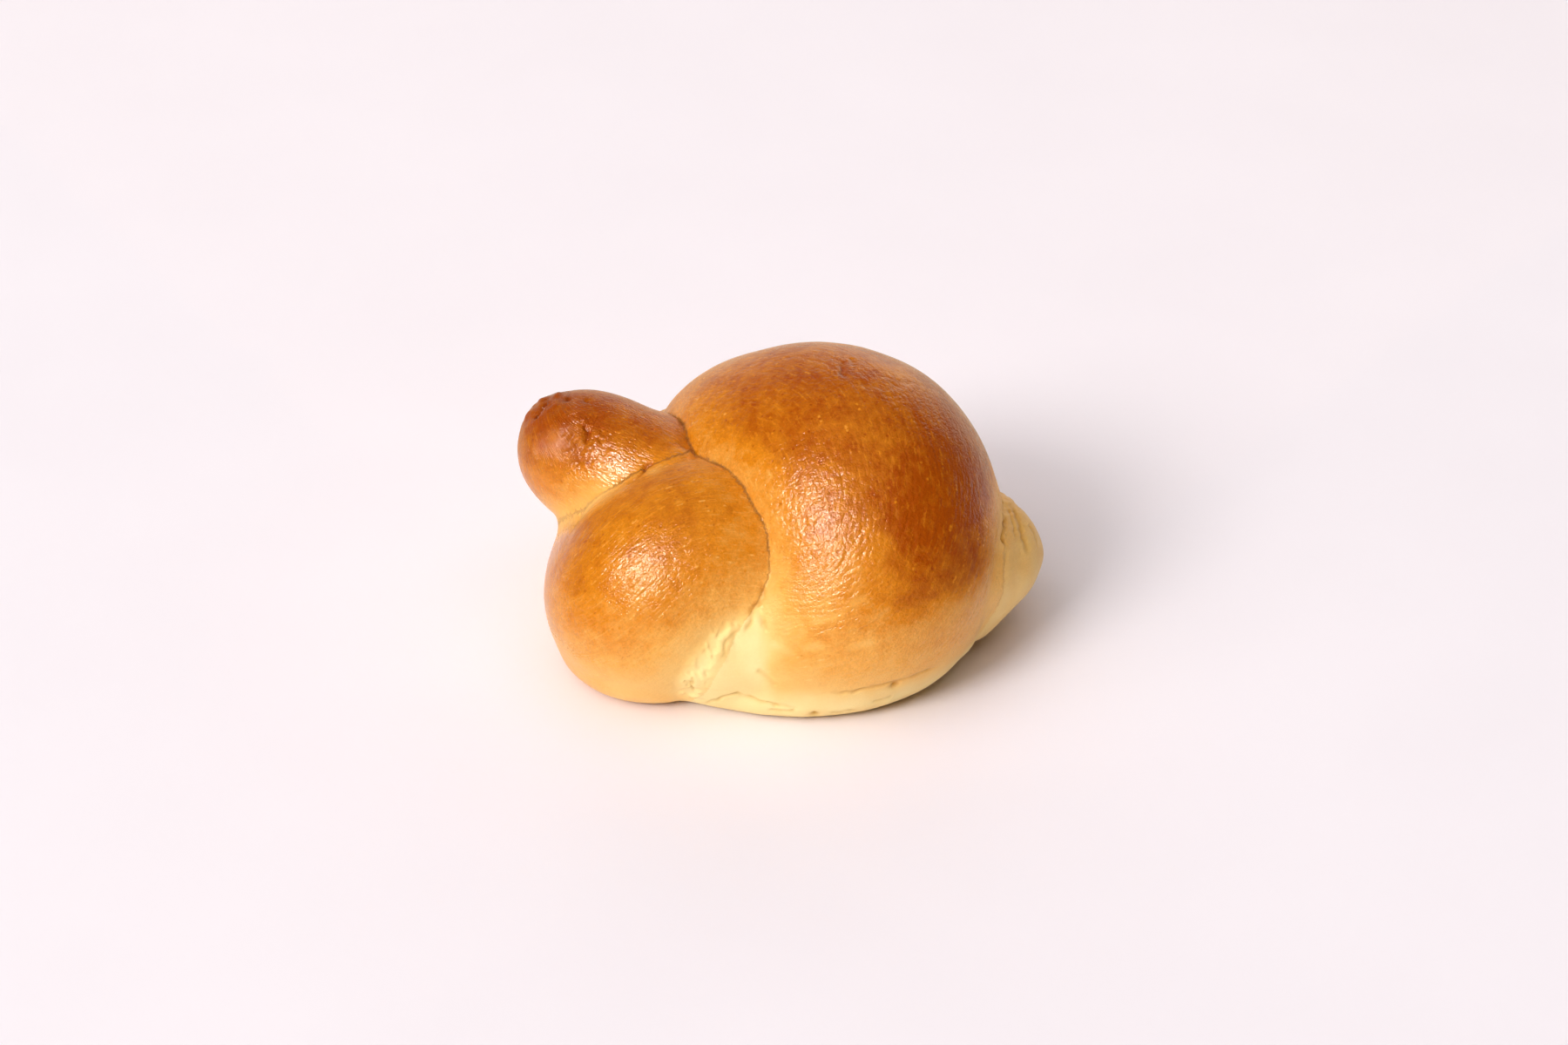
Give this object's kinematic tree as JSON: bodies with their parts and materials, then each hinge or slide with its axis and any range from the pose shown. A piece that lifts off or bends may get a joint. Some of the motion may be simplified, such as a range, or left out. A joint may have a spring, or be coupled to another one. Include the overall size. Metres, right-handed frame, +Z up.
{
  "type": "knot roll",
  "caption": "Bread roll tied from one strand of egg-glazed dough in a loose overhand knot, with a tall browned dome, a rounded loop and head, a pale tail and a flat base.",
  "frame": {"origin": "middle of the bounding box in plan, on the flat base", "axes": "+X along the roll from the head to the tail, +Y away from the shown side, +Z up"},
  "size_m": [0.1098, 0.0893, 0.0586],
  "materials": {
    "crust": "egg-glazed baked crust, deep golden brown on top and pale yellow in the creases and at the base"
  },
  "bodies": {
    "root": {"knot_roll": "crust"}
  },
  "joints": []
}
